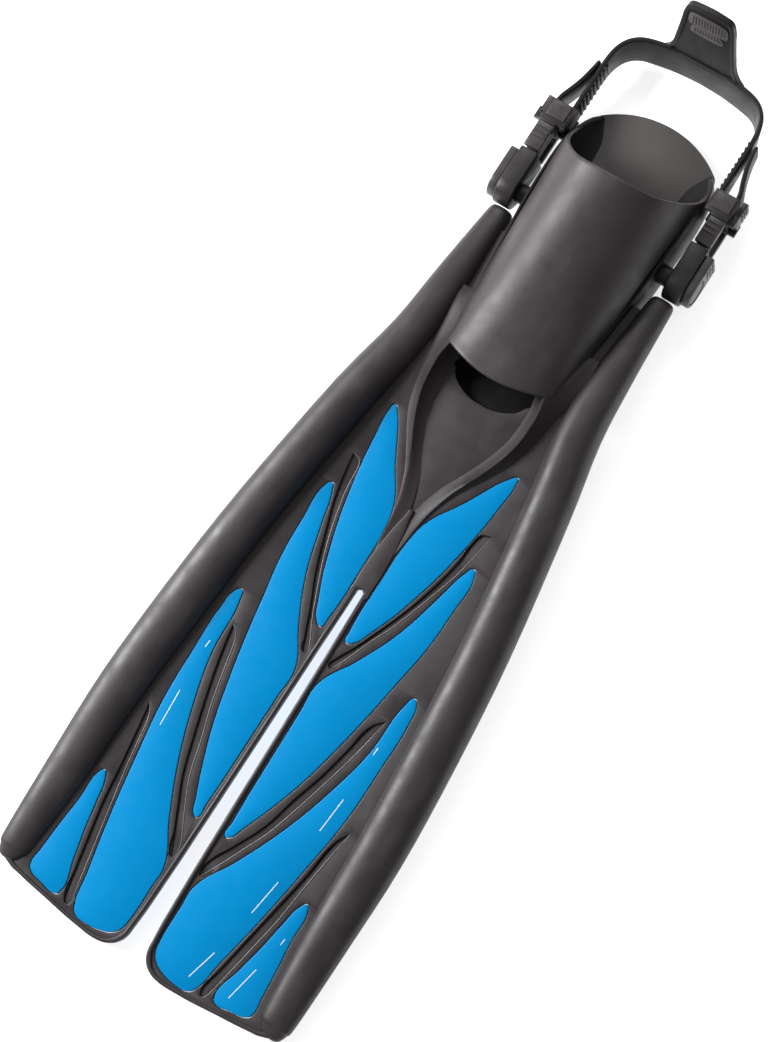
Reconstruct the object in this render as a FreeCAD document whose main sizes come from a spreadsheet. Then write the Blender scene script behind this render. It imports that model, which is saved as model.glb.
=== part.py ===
import FreeCAD, Part
import math
import os
import re

import Sketcher

# Open-heel split swim fin. Millimetres, +Z up, +Y towards the heel, +X towards the outside of the
# right side rail. Z = 0 is the floor that the sole and the two rail tips stand on.

doc = FreeCAD.newDocument("SwimFin")
V = FreeCAD.Vector

sizes = {
    # blade: its own flat plane, pitched down towards the tips
    "bladePitch": 3.0,
    "bladeDatum": -111.2,
    "bladeLift": 19.65,
    "webThick": 4.0,
    "rimThick": 7.0,
    "panelThick": 4.6,
    "flangeThick": 3.0,
    "spineThick": 5.0,
    "slotRoot": 36.0,
    "slotRootHalf": 2.6,
    "slotTipHalf": 8.2,
    "rimWide": 3.0,
    "webTop": 212.0,
    # foot pocket and sole
    "wallThick": 3.5,
    "lipAlong": 228.0,
    "lipHigh": 75.0,
    "earAlong": 283.0,
    "earHigh": 10.0,
    "soleThick": 8.0,
    "soleFlatStart": 150.0,
    "soleFront": 66.0,
    "soleFrontLow": 17.4,
    "soleFrontTop": 26.35,
    "soleStep": 76.0,
    "soleStepTop": 20.4,
    "heelSide": 45.0,
    "heelCorner": 283.0,
    "heelEnd": 299.0,
    "treadWide": 66.0,
    "treadGroove": 4.0,
    "treadDeep": 1.5,
    "treadStart": 160.0,
    "treadSpan": 112.0,
    # swivel and socket of each buckle
    "pivotAlong": 206.0,
    "pivotHigh": 19.0,
    "postRadius": 5.0,
    "bossRadius": 6.8,
    "bossInner": 50.2,
    "bossOuter": 59.15,
    "boreRadius": 5.05,
    "capRadius": 8.6,
    "capOuter": 78.6,
    "buckleInner": 59.5,
    "buckleOuter": 72.7,
    "buckleHalf": 13.5,
    "postEnd": 73.1,
    "socketMouth": 232.0,
    "cavityEnd": 215.0,
    "cavityInner": 61.5,
    "cavityOuter": 70.7,
    "cavityHalf": 10.5,
    "coverOuter": 79.0,
    "coverHalf": 11.5,
    "coverEnd": 229.0,
    "coverHole": 9.0,
    # plug of each buckle
    "tongueInner": 62.2,
    "tongueOuter": 70.0,
    "tongueHalf": 4.5,
    "tongueStart": 215.8,
    "yokeStart": 253.4,
    "yokeEnd": 256.2,
    "frameInner": 54.6,
    "frameOuter": 73.0,
    "frameEnd": 271.0,
    "cheekThick": 3.7,
    "barRadius": 3.4,
    "barSide": 63.6,
    "barAlong": 265.0,
    "lugOuter": 77.6,
    "lugEnd": 262.2,
    "lugHigh": 10.6,
    "lugThick": 3.0,
    "squeezeStart": 233.5,
    "squeezeEnd": 253.0,
    "squeezeInner": 60.5,
    "squeezeOuter": 72.3,
    "squeezeThick": 4.5,
    "armStart": 216.5,
    "armReach": 9.9,
    "armThick": 2.3,
    # strap lock lever
    "pinSide": 75.0,
    "pinAlong": 259.6,
    "pinRadius": 1.5,
    "pinBore": 1.56,
    "barrelRadius": 2.6,
    "leverInner": 73.6,
    "leverOuter": 77.4,
    "leverEnd": 273.0,
    "leverHalf": 7.2,
    # heel strap
    "strapThick": 3.5,
    "strapSide": 58.8,
    "strapHalf": 9.6,
    "strapBend": 315.3,
    "strapCorner": 33.8,
    "strapShoulder": 340.3,
    "strapHeel": 344.3,
    "heelBandStart": 305.0,
    "heelBandLow": 3.0,
    "heelBandTop": 29.5,
    "tailEnd": 309.0,
    "tabLean": 13.0,
    "tabBaseHalf": 28.0,
    "tabTopHalf": 17.0,
    "tabBase": 26.0,
    "tabTall": 60.5,
    "tabThick": 3.5,
    "barThick": 1.2,
}

# Stations of a side rail on the blade plane: distance along, side, half width, half height, rise.
railStations = {
    "A": (-235.5, 104.5, 5.5, 3.5, 0.0),
    "B": (-222.0, 104.5, 11.5, 7.0, 0.0),
    "C": (-164.0, 103.0, 14.8, 9.5, 0.0),
    "D": (-100.0, 102.0, 16.5, 11.5, 0.0),
    "E": (-28.0, 97.0, 17.0, 13.0, 0.0),
    "F": (49.0, 89.5, 16.5, 14.5, 0.0),
    "G": (144.0, 75.5, 15.8, 15.5, 0.0),
    "H": (198.0, 65.5, 15.0, 14.8, -4.0),
    "I": (243.0, 63.5, 12.6, 12.4, -8.0),
    "J": (300.0, 63.0, 7.6, 7.4, -19.0),
}
railWords = ("Along", "Side", "Wide", "Tall", "Rise")

# Stations of the foot pocket's arch: distance along, half width, base height, top height.
pocketStations = {
    "A": (84.0, 45.0, 19.0, 50.0),
    "B": (130.0, 47.0, 8.0, 58.0),
    "C": (190.0, 52.0, 3.0, 67.0),
    "D": (235.0, 54.2, 2.0, 75.0),
    "E": (286.0, 53.5, 2.0, 84.0),
}
pocketWords = ("Along", "Wide", "Low", "High")

# Stations of the flange beside the foot pocket: distance along, then side and rise of both edges.
flangeStations = {
    "A": (205.0, 40.0, 0.0, 65.0, -3.5),
    "B": (235.0, 40.4, -2.0, 63.7, -7.0),
    "C": (262.0, 43.2, -6.0, 63.4, -11.5),
    "D": (288.0, 46.5, -11.0, 63.0, -16.0),
}
flangeWords = ("Along", "Inner", "InnerRise", "Outer", "OuterRise")

for letter, station in railStations.items():
    for word, number in zip(railWords, station):
        sizes["rail" + letter + word] = number
for letter, station in pocketStations.items():
    for word, number in zip(pocketWords, station):
        sizes["arch" + letter + word] = number

for letter, station in flangeStations.items():
    for word, number in zip(flangeWords, station):
        sizes["flange" + letter + word] = number

sheet = doc.addObject("Spreadsheet::Sheet", "Dimensions")
for row, (alias, number) in enumerate(sizes.items(), 1):
    sheet.set("A%d" % row, alias)
    sheet.set("B%d" % row, str(number))
    sheet.setAlias("B%d" % row, alias)
doc.recompute()


def bound(expression):
    """The expression with each dimension's name turned into its cell of the sheet."""
    named = lambda word: "Dimensions." + word.group() if word.group() in sizes else word.group()
    return re.sub(r"[A-Za-z]+", named, str(expression))


def bind(thing, prop, expression):
    thing.setExpression(prop, bound(expression))


def worth(expression):
    """The number that an expression of dimensions comes to."""
    return float(sheet.evalExpression(bound(expression)))


def plane(body, role):
    return next(f for f in body.Origin.OriginFeatures if f.Role == role)


def newBody(name):
    return doc.addObject("PartDesign::Body", name)


def newSketch(body, name, role, offset="0"):
    """A sketch on one of the body's own planes, moved along that plane's normal."""
    sketch = body.newObject("Sketcher::SketchObject", name)
    sketch.AttachmentSupport = (plane(body, role), [""])
    sketch.MapMode = "FlatFace"
    bind(sketch, "AttachmentOffset.Base.z", offset)
    return sketch


def outline(sketch, points, side=1, bulges=None):
    """A closed outline through points of dimension expressions. bulges gives the middle point of
    those edges that are arcs, by the number of the edge's first point."""
    bulges = bulges or {}
    place = [V(side * worth(x), worth(y), 0) for x, y in points]
    first = sketch.GeometryCount
    count = len(points)
    turned = [False] * count
    for i in range(count):
        start, end = place[i], place[(i + 1) % count]
        if i in bulges:
            middle = V(side * worth(bulges[i][0]), worth(bulges[i][1]), 0)
            # a sketch keeps its arcs anticlockwise
            turned[i] = (middle - start).cross(end - start).z < 0
            if turned[i]:
                start, end = end, start
            sketch.addGeometry(Part.Arc(start, middle, end), False)
        else:
            sketch.addGeometry(Part.LineSegment(start, end), False)
    for i, (x, y) in enumerate(points):
        before = (i - 1) % count
        vertex = 2 if turned[i] else 1
        last = 1 if turned[before] else 2
        sketch.addConstraint(Sketcher.Constraint(
            "Coincident", first + before, last, first + i, vertex))
        for word, expression, number in (("DistanceX", "%d * (%s)" % (side, x), place[i].x),
                                         ("DistanceY", y, place[i].y)):
            ref = sketch.addConstraint(Sketcher.Constraint(word, first + i, vertex, number))
            sketch.setExpression("Constraints[%d]" % ref, bound(expression))


def circle(sketch, x, y, radius):
    """A circle whose centre and radius are dimension expressions."""
    edge = sketch.addGeometry(
        Part.Circle(V(worth(x), worth(y), 0), V(0, 0, 1), worth(radius)), False)
    for word, expression in (("DistanceX", x), ("DistanceY", y)):
        ref = sketch.addConstraint(Sketcher.Constraint(word, edge, 3, worth(expression)))
        sketch.setExpression("Constraints[%d]" % ref, bound(expression))
    ref = sketch.addConstraint(Sketcher.Constraint("Radius", edge, worth(radius)))
    sketch.setExpression("Constraints[%d]" % ref, bound(radius))


def pad(body, sketch, length, middle=False, back=False):
    feature = body.newObject("PartDesign::Pad", sketch.Name + "Pad")
    feature.Profile = sketch
    feature.Midplane = middle
    feature.Reversed = back
    bind(feature, "Length", length)
    sketch.Visibility = False
    return feature


def pocket(body, sketch, length=None, back=False):
    """A cut of one length, or through everything both ways when there is no length."""
    feature = body.newObject("PartDesign::Pocket", sketch.Name + "Pocket")
    feature.Profile = sketch
    if length is None:
        feature.Type = "ThroughAll"
        feature.Midplane = True
    else:
        feature.Reversed = back
        bind(feature, "Length", length)
    return feature


def box(name, x, y, z, side=1):
    """A box between pairs of dimension expressions, on the right side or mirrored to the left."""
    solid = doc.addObject("Part::Box", name)
    for prop, (low, high) in (("Length", x), ("Width", y), ("Height", z)):
        bind(solid, prop, "(%s) - (%s)" % (high, low))
    bind(solid, "Placement.Base.x", x[0] if side > 0 else "-(%s)" % x[1])
    bind(solid, "Placement.Base.y", y[0])
    bind(solid, "Placement.Base.z", z[0])
    return solid


def rod(name, radius, start, end, along, high, side):
    """A cylinder along X from start to end."""
    solid = doc.addObject("Part::Cylinder", name)
    solid.Placement.Rotation = FreeCAD.Rotation(V(0, 1, 0), 90)
    bind(solid, "Radius", radius)
    bind(solid, "Height", "(%s) - (%s)" % (end, start))
    bind(solid, "Placement.Base.x", start if side > 0 else "-(%s)" % end)
    bind(solid, "Placement.Base.y", along)
    bind(solid, "Placement.Base.z", high)
    return solid


def upright(name, radius, x, y, low, high, side):
    """A cylinder along Z."""
    solid = doc.addObject("Part::Cylinder", name)
    bind(solid, "Radius", radius)
    bind(solid, "Height", "(%s) - (%s)" % (high, low))
    bind(solid, "Placement.Base.x", "%d * (%s)" % (side, x))
    bind(solid, "Placement.Base.y", y)
    bind(solid, "Placement.Base.z", low)
    return solid


def fuse(name, *solids):
    joined = doc.addObject("Part::MultiFuse", name)
    joined.Shapes = list(solids)
    joined.Refine = True
    return joined


def cut(name, base, tool):
    left = doc.addObject("Part::Cut", name)
    left.Base = base
    left.Tool = tool
    return left


def onBlade(thing):
    """Puts a piece drawn on the flat blade plane at the blade's pitch."""
    thing.Placement = FreeCAD.Placement(V(0, 0, 0), FreeCAD.Rotation(V(1, 0, 0), 1))
    bind(thing, "Placement.Rotation.Angle", "bladePitch")
    bind(thing, "Placement.Base.y", "bladeDatum")
    bind(thing, "Placement.Base.z", "bladeLift")
    return thing


nodes = {}


def keep(name, thing):
    thing.Label = name
    nodes[name] = thing
    return thing


# Blade. The outlines are of the right half, on the blade plane.

scoopEdge = [("7", "40"), ("7", "72"), ("8.5", "87"), ("12", "101"), ("16.5", "115"), ("22.5", "129"),
             ("28.5", "142"), ("33.8", "155"), ("37.5", "169"), ("38.6", "184"), ("38", "196")]

panelOutlines = [
    [("48", "151"), ("49.8", "146"), ("48.6", "128"), ("43.2", "89"), ("34.5", "52"), ("21.5", "16"),
     ("13.5", "2"), ("9.4", "1"), ("8", "8"), ("7.3", "50"), ("8.6", "80"), ("12.4", "95"),
     ("25.6", "116.5"), ("44", "149")],
    [("55.4", "86"), ("59", "82"), ("59.5", "55"), ("58", "25"), ("54", "0"), ("48.5", "-33"),
     ("43", "-60"), ("36", "-89"), ("28", "-113"), ("19.3", "-134.5"), ("13.5", "-147"),
     ("11", "-146"), ("10.4", "-135"), ("8.6", "-52"), ("8.5", "-30"), ("22.4", "-5.8"),
     ("36.2", "23.6"), ("46.3", "58.8"), ("52", "83")],
    [("68", "-4.9"), ("72", "-7"), ("74.2", "-22"), ("74.3", "-56"), ("73.2", "-94"), ("67.8", "-135"),
     ("60.8", "-178"), ("53.3", "-215"), ("48", "-239"), ("44.8", "-241.4"), ("34.4", "-242.2"),
     ("25.7", "-240.8"), ("17.6", "-237.2"), ("13.2", "-231.5"), ("12", "-225"), ("11.4", "-198"),
     ("11.2", "-184"), ("26.4", "-155"), ("42.2", "-120"), ("55", "-81"), ("62", "-50"), ("65", "-10")],
    [("80", "-152"), ("83.6", "-155"), ("85", "-178"), ("87", "-198"), ("88.6", "-219"),
     ("89.4", "-229"), ("87", "-233.5"), ("74.5", "-236.8"), ("65.6", "-238"), ("61.6", "-236"),
     ("66", "-210"), ("70.1", "-191.7"), ("73.5", "-172.5"), ("77", "-156")],
]

tipEdge = [("11.3", "-239.5"), ("16.5", "-244"), ("24", "-246.3"), ("40", "-246"), ("70", "-242.5"),
           ("92", "-239")]
tipEdgeInner = [("92", "-236.4"), ("70", "-239.8"), ("40", "-243.3"), ("25", "-243.5"),
                ("18.3", "-241.4"), ("14.2", "-237.4")]


def buildRail(name, side):
    """A side rail: one loft through elliptical sections along the blade."""
    body = newBody(name + "_body")
    sections = []
    for letter in railStations:
        along, across, wide, tall, rise = ("rail" + letter + word for word in railWords)
        sketch = newSketch(body, name + letter, "XZ_Plane", "-" + along)
        centre = V(side * sizes[across], sizes[rise], 0)
        ellipse = Part.Ellipse(centre + V(sizes[wide], 0, 0), centre + V(0, sizes[tall], 0), centre)
        sketch.addGeometry(ellipse, False)
        for word, expression in (("DistanceX", "%d * %s" % (side, across)), ("DistanceY", rise)):
            ref = sketch.addConstraint(Sketcher.Constraint(word, 0, 3, worth(expression)))
            sketch.setExpression("Constraints[%d]" % ref, bound(expression))
        sections.append(sketch)
    loft = body.newObject("PartDesign::AdditiveLoft", name + "Loft")
    loft.Profile = sections[0]
    loft.Sections = sections[1:]
    return keep(name, onBlade(body))


def buildWeb(name, side, rail, wall):
    """Half of the blade's frame: a web with four panel windows and a raised rim, trimmed where it
    meets its rail and the foot pocket."""
    body = newBody(name + "_body")
    railLine = [("rail%sSide" % letter, "rail%sAlong" % letter) for letter in "BCDEFGH"]
    sketch = newSketch(body, name + "Outline", "XY_Plane")
    outline(sketch, [("slotRootHalf", "slotRoot"), ("slotTipHalf", "-232")] + tipEdge + railLine
            + [("64.5", "webTop"), ("40.2", "webTop"), ("39.8", "203")] + scoopEdge[::-1], side)
    pad(body, sketch, "webThick", middle=True)
    rim = newSketch(body, name + "Rim", "XY_Plane")
    outline(rim, [("slotRootHalf", "slotRoot"), ("slotTipHalf", "-232")] + tipEdge + tipEdgeInner
            + [("slotTipHalf + rimWide", "-231"), ("slotRootHalf + rimWide", "slotRoot")], side)
    pad(body, rim, "rimThick", middle=True)
    windows = newSketch(body, name + "Windows", "XY_Plane")
    for points in panelOutlines:
        outline(windows, points, side)
    pocket(body, windows)
    web = fuse(name + "_solid", onBlade(body), buildFlange(name + "_flange", side))
    return keep(name, cut(name, cut(name + "_trim", web, rail), wall))


def buildFlange(name, side):
    """The sloping flange that joins a rail to the side of the foot pocket."""
    body = newBody(name + "_body")
    sections = []
    for letter in flangeStations:
        along, inner, innerRise, outer, outerRise = ("flange" + letter + word for word in flangeWords)
        sketch = newSketch(body, name + letter, "XZ_Plane", "-" + along)
        outline(sketch, [(inner, innerRise + " - flangeThick / 2"), (outer, outerRise + " - flangeThick / 2"),
                         (outer, outerRise + " + flangeThick / 2"), (inner, innerRise + " + flangeThick / 2")],
                side)
        sections.append(sketch)
    loft = body.newObject("PartDesign::AdditiveLoft", name + "Loft")
    loft.Profile = sections[0]
    loft.Sections = sections[1:]
    loft.Ruled = True
    return onBlade(body)


def buildPanel(name, side, points):
    """A soft flexing panel that fills one window of the web."""
    body = newBody(name)
    sketch = newSketch(body, name + "Outline", "XY_Plane")
    outline(sketch, points, side)
    pad(body, sketch, "panelThick", middle=True)
    return keep(name, onBlade(body))


def buildSpine():
    """The stiff centre piece: a spoon that narrows from the toe vent to the slot's root."""
    body = newBody("center_spine")
    sketch = newSketch(body, "SpineOutline", "XY_Plane")
    left = [("-(%s)" % x, y) for x, y in scoopEdge]
    outline(sketch, scoopEdge + [("30", "192"), ("18", "184"), ("0", "180"), ("-18", "184"), ("-30", "192")]
            + left[::-1] + [("-slotRootHalf", "slotRoot"), ("slotRootHalf", "slotRoot")])
    pad(body, sketch, "spineThick", middle=True)
    scoop = newSketch(body, "SpineScoop", "XY_Plane", "spineThick / 2")
    outline(scoop, [("-4.5", "90"), ("4.5", "90"), ("18.5", "125"), ("30", "151"), ("34", "170"),
                    ("33.5", "184"), ("18", "178"), ("0", "175"), ("-18", "178"), ("-33.5", "184"),
                    ("-34", "170"), ("-30", "151"), ("-18.5", "125")])
    pocket(body, scoop, "1.5")
    return keep("center_spine", onBlade(body))


# Foot pocket and sole, in the frame of the whole fin.

def arch(body, name, letter, inset):
    """A section of the foot pocket: a half ellipse that stands on a straight base."""
    along, wide, low, high = ("arch" + letter + word for word in pocketWords)
    sketch = newSketch(body, name + letter, "XZ_Plane", "-" + along)
    half = worth(wide + " - " + inset)
    base = worth(low)
    top = worth(high + " - " + inset) - base
    centre = V(0, base, 0)
    if half > top:
        ellipse = Part.Ellipse(centre + V(half, 0, 0), centre + V(0, top, 0), centre)
        ends = (0, math.pi)
    else:
        ellipse = Part.Ellipse(centre + V(0, top, 0), centre + V(-half, 0, 0), centre)
        ends = (-math.pi / 2, math.pi / 2)
    sketch.addGeometry(Part.ArcOfEllipse(ellipse, *ends), False)
    sketch.addGeometry(Part.LineSegment(V(-half, base, 0), V(half, base, 0)), False)
    for point, sign in ((1, -1), (2, 1)):
        for word, expression in (("DistanceX", "%d * (%s - %s)" % (sign, wide, inset)),
                                 ("DistanceY", low)):
            ref = sketch.addConstraint(Sketcher.Constraint(word, 1, point, worth(expression)))
            sketch.setExpression("Constraints[%d]" % ref, bound(expression))
    return sketch


def buildSole():
    """The sole plate: a side profile as wide as the fin, trimmed to the footprint's outline."""
    body = newBody("sole_profile")
    profile = newSketch(body, "SoleProfile", "YZ_Plane")
    outline(profile, [("soleFront", "soleFrontLow"), ("soleFlatStart", "0"), ("heelEnd + 4", "0"),
                      ("heelEnd + 4", "soleThick"), ("soleFlatStart", "soleThick"),
                      ("soleStep", "soleStepTop"),
                      ("soleFront", "soleFrontTop")])
    pad(body, profile, "120", middle=True)
    grooves = newSketch(body, "TreadGroove", "XY_Plane")
    outline(grooves, [("-treadWide / 2", "treadStart"), ("treadWide / 2", "treadStart"),
                      ("treadWide / 2", "treadStart + treadGroove"),
                      ("-treadWide / 2", "treadStart + treadGroove")])
    groove = pocket(body, grooves, "treadDeep", back=True)
    pattern = body.newObject("PartDesign::LinearPattern", "TreadPattern")
    pattern.Originals = [groove]
    pattern.Direction = (plane(body, "Y_Axis"), [""])
    bind(pattern, "Length", "treadSpan")
    pattern.Occurrences = 9
    body.Tip = pattern

    footprint = newBody("sole_footprint")
    print_ = newSketch(footprint, "Footprint", "XY_Plane")
    right = [("36", "soleFront"), ("arch%sWide - wallThick" % "A", "archAAlong"),
             ("archBWide - wallThick", "archBAlong"), ("archCWide - wallThick", "archCAlong"),
             ("archDWide - wallThick", "archDAlong"), ("heelSide", "heelCorner")]
    left = [("-(%s)" % x, y) for x, y in right]
    outline(print_, right + left[::-1], bulges={len(right) - 1: ("0", "heelEnd")})
    pad(footprint, print_, "40")
    plate = doc.addObject("Part::Common", "sole_plate")
    plate.Base = body
    plate.Tool = footprint
    return keep("sole_plate", plate)


def buildPocket(sole):
    """The foot pocket: a hollow arch, open at the toe and cut to a sloping lip at the instep."""
    body = newBody("pocket_body")
    outer = [arch(body, "Outer", letter, "0") for letter in pocketStations]
    loft = body.newObject("PartDesign::AdditiveLoft", "OuterLoft")
    loft.Profile = outer[0]
    loft.Sections = outer[1:]
    loft.Ruled = True
    doc.recompute()
    inner = [arch(body, "Inner", letter, "wallThick") for letter in pocketStations]
    hollow = body.newObject("PartDesign::SubtractiveLoft", "InnerLoft")
    hollow.Profile = inner[0]
    hollow.Sections = inner[1:]
    hollow.Ruled = True
    lip = newSketch(body, "Lip", "YZ_Plane")
    outline(lip, [("lipAlong", "lipHigh + 4"), ("lipAlong", "lipHigh"), ("earAlong", "earHigh"),
                  ("earAlong + 20", "earHigh"), ("earAlong + 20", "lipHigh + 40"),
                  ("lipAlong", "lipHigh + 40")])
    pocket(body, lip)
    return keep("foot_pocket", cut("foot_pocket", body, sole))


# Buckles. Every piece is drawn on the right side and mirrored by side = -1.

def buildPost(name, side, wall):
    """The swivel post and its boss, seated on the foot pocket's outer wall."""
    boss = rod(name + "_boss", "bossRadius", "bossInner", "bossOuter", "pivotAlong", "pivotHigh", side)
    stem = rod(name + "_stem", "postRadius", "bossOuter - 1", "postEnd", "pivotAlong", "pivotHigh", side)
    return keep(name, cut(name, fuse(name + "_turned", boss, stem), wall))


def buildCap(name, side):
    """The cap that holds the socket on its post."""
    return keep(name, rod(name, "capRadius", "postEnd", "capOuter", "pivotAlong", "pivotHigh", side))


def stadium(sketch, half, end):
    """A plate outline round the pivot: a half circle towards the toe and a square end."""
    outline(sketch, [("pivotAlong", "pivotHigh - " + half), (end, "pivotHigh - " + half),
                     (end, "pivotHigh + " + half), ("pivotAlong", "pivotHigh + " + half)],
            bulges={3: ("pivotAlong - " + half, "pivotHigh")})


def buildSocket(name, side):
    """The socket: a thick plate that swivels on the post and takes the plug in its open end."""
    body = newBody(name)
    sketch = newSketch(body, name + "Outline", "YZ_Plane", "%d * buckleInner" % side)
    stadium(sketch, "buckleHalf", "socketMouth")
    circle(sketch, "pivotAlong", "pivotHigh", "boreRadius")
    pad(body, sketch, "buckleOuter - buckleInner", back=side < 0)
    doc.recompute()
    mouth = newSketch(body, name + "Mouth", "XZ_Plane", "-socketMouth")
    outline(mouth, [("cavityInner", "pivotHigh - cavityHalf"), ("cavityOuter", "pivotHigh - cavityHalf"),
                    ("cavityOuter", "pivotHigh + cavityHalf"), ("cavityInner", "pivotHigh + cavityHalf")],
            side)
    solid = body.Shape.Volume
    hole = pocket(body, mouth, "socketMouth - cavityEnd", back=True)
    doc.recompute()
    if body.Shape.Volume > solid - 100:
        hole.Reversed = False
    return keep(name, body)


def buildCover(name, side):
    """The cover on the socket's outer face, with a round window for the post's cap."""
    body = newBody(name)
    sketch = newSketch(body, name + "Outline", "YZ_Plane", "%d * buckleOuter" % side)
    stadium(sketch, "coverHalf", "coverEnd")
    circle(sketch, "pivotAlong", "pivotHigh", "coverHole")
    pad(body, sketch, "coverOuter - buckleOuter", back=side < 0)
    return keep(name, body)


def buildPlug(name, side):
    """The plug frame: a tongue for the socket, a yoke, two cheeks and the bar the strap wraps."""
    mid, low, high = "pivotHigh", "pivotHigh - buckleHalf", "pivotHigh + buckleHalf"
    tongue = box(name + "_tongue", ("tongueInner", "tongueOuter"), ("tongueStart", "yokeEnd"),
                 (mid + " - tongueHalf", mid + " + tongueHalf"), side)
    yoke = box(name + "_yoke", ("squeezeInner", "squeezeOuter"), ("yokeStart", "yokeEnd"), (low, high), side)
    pieces = [tongue, yoke]
    for word, bottom, top in (("lower", low, low + " + cheekThick"), ("upper", high + " - cheekThick", high)):
        pieces.append(box(name + "_cheek_" + word, ("frameInner", "frameOuter"),
                          ("yokeEnd - 1", "frameEnd"), (bottom, top), side))
    for word, span in (("lower", (mid + " - lugHigh", mid + " - lugHigh + lugThick")),
                       ("upper", (mid + " + lugHigh - lugThick", mid + " + lugHigh"))):
        pieces.append(box(name + "_lug_" + word, ("squeezeOuter - 1", "lugOuter"),
                          ("yokeStart", "lugEnd"), span, side))
    pieces.append(upright(name + "_bar", "barRadius", "barSide", "barAlong", low, high, side))
    pin = upright(name + "_pin_hole", "pinRadius", "pinSide", "pinAlong", low, high, side)
    return keep(name, cut(name, fuse(name + "_solid", *pieces), pin))


def buildPin(name, side):
    return keep(name, upright(name, "pinRadius", "pinSide", "pinAlong", "pivotHigh - lugHigh",
                              "pivotHigh + lugHigh", side))


def buildLever(name, side):
    """The lock lever: a flap on a barrel that turns on the pin and opens outwards."""
    bottom, top = "pivotHigh - leverHalf", "pivotHigh + leverHalf"
    flap = box(name + "_flap", ("leverInner", "leverOuter"), ("pinAlong", "leverEnd"), (bottom, top), side)
    barrel = upright(name + "_barrel", "barrelRadius", "pinSide", "pinAlong", bottom, top, side)
    bore = upright(name + "_bore", "pinBore", "pinSide", "pinAlong", bottom, top, side)
    return keep(name, cut(name, fuse(name + "_solid", flap, barrel), bore))


def buildSqueezer(name, side, up):
    """A squeeze tab: a ribbed block and the arm that reaches into the socket."""
    def span(near, far):
        """Heights measured from the buckle's middle, up or down."""
        if up > 0:
            return ("pivotHigh + " + near, "pivotHigh + " + far)
        return ("pivotHigh - (%s)" % far, "pivotHigh - (%s)" % near)

    block = box(name + "_block", ("squeezeInner", "squeezeOuter"), ("squeezeStart", "squeezeEnd"),
                span("buckleHalf - squeezeThick", "buckleHalf"), side)
    arm = box(name + "_arm", ("tongueInner", "tongueOuter"), ("armStart", "squeezeEnd - 5"),
              span("armReach - armThick", "armReach"), side)
    return keep(name, fuse(name, block, arm))


# Heel strap.

def buildStrap():
    """The heel strap: a band round the heel, a wrap and a tail at each buckle, and the pull tab."""
    body = newBody("heel_strap")
    mid = "pivotHigh"
    inner = "strapSide - strapThick"

    def band(name, start, low, high):
        """The band from one side round the heel to the other."""
        sketch = newSketch(body, name, "XY_Plane", low)
        outer = [("strapSide", start), ("strapSide", "strapBend"), ("strapCorner", "strapShoulder")]
        lining = [(inner, start), (inner, "strapBend"), ("strapCorner - 0.6", "strapShoulder - strapThick")]
        points = outer + [("-(%s)" % x, y) for x, y in outer[::-1]]
        points += [("-(%s)" % x, y) for x, y in lining] + lining[::-1]
        outline(sketch, points, bulges={
            1: ("strapCorner + 17.7", "strapBend + 17.7"), 2: ("0", "strapHeel"),
            3: ("-(strapCorner + 17.7)", "strapBend + 17.7"),
            7: ("-(strapCorner + 15.2)", "strapBend + 15.2"), 8: ("0", "strapHeel - strapThick"),
            9: ("strapCorner + 15.2", "strapBend + 15.2")})
        pad(body, sketch, "(%s) - (%s)" % (high, low))

    band("StrapBand", "barAlong", mid + " - strapHalf", mid + " + strapHalf")
    band("HeelBand", "heelBandStart", "heelBandLow", "heelBandTop")
    doc.recompute()
    reach = "(2 * barSide - strapSide)"
    for word, side in (("Right", 1), ("Left", -1)):
        sketch = newSketch(body, "Tail" + word, "XY_Plane", mid + " - strapHalf")
        outline(sketch, [
            (inner, "barAlong + 6"), (inner, "barAlong"), (reach + " + strapThick", "barAlong"),
            (reach + " + strapThick", "barAlong + 5"), (reach + " + 3.2", "barAlong + 14"),
            (reach + " - 1.5", "barAlong + 18"), ("strapSide + 4.3", "tailEnd"), ("strapSide + 1", "tailEnd"),
            (reach + " - 4.6", "barAlong + 18"), (reach, "barAlong + 5"), (reach, "barAlong"),
            ("strapSide", "barAlong"), ("strapSide", "barAlong + 6")], side,
            bulges={1: ("barSide", "barAlong - barSide + strapSide - strapThick"),
                    10: ("barSide", "barAlong - barSide + strapSide")})
        pad(body, sketch, "2 * strapHalf")
        doc.recompute()
    tab = newSketch(body, "PullTab", "XZ_Plane")
    tab.AttachmentOffset = FreeCAD.Placement(V(0, sizes["tabBase"], -(sizes["strapHeel"] - 4)),
                                             FreeCAD.Rotation(V(1, 0, 0), -sizes["tabLean"]))
    bind(tab, "AttachmentOffset.Base.z", "-(strapHeel - 4)")
    outline(tab, [("-tabBaseHalf", "0"), ("tabBaseHalf", "0"), ("tabTopHalf + 1", "tabTall - 7"),
                  ("tabTopHalf - 5", "tabTall"), ("-tabTopHalf + 5", "tabTall"),
                  ("-tabTopHalf - 1", "tabTall - 7")])
    pad(body, tab, "tabThick", back=True)
    return keep("heel_strap", body)


def buildGripBars():
    """Two raised bars on the pull tab's inner face, lying on the same lean as the tab."""
    lean = FreeCAD.Placement(V(0, sizes["strapHeel"] - 4, sizes["tabBase"]),
                             FreeCAD.Rotation(V(1, 0, 0), -sizes["tabLean"]))
    bars = []
    for word, half, low, tall in (("upper", "15.5", "tabTall - 20", "8"), ("lower", "16.5", "tabTall - 28", "5")):
        bar = doc.addObject("Part::Box", "grip_bar_" + word)
        bind(bar, "Length", "2 * " + half)
        bind(bar, "Width", "barThick")
        bind(bar, "Height", tall)
        start = V(-worth(half), -sizes["barThick"], worth(low))
        bar.Placement = lean.multiply(FreeCAD.Placement(start, FreeCAD.Rotation()))
        bars.append(bar)
    group = doc.addObject("Part::Compound", "tab_grip_bars")
    group.Links = bars
    return keep("tab_grip_bars", group)


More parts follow.
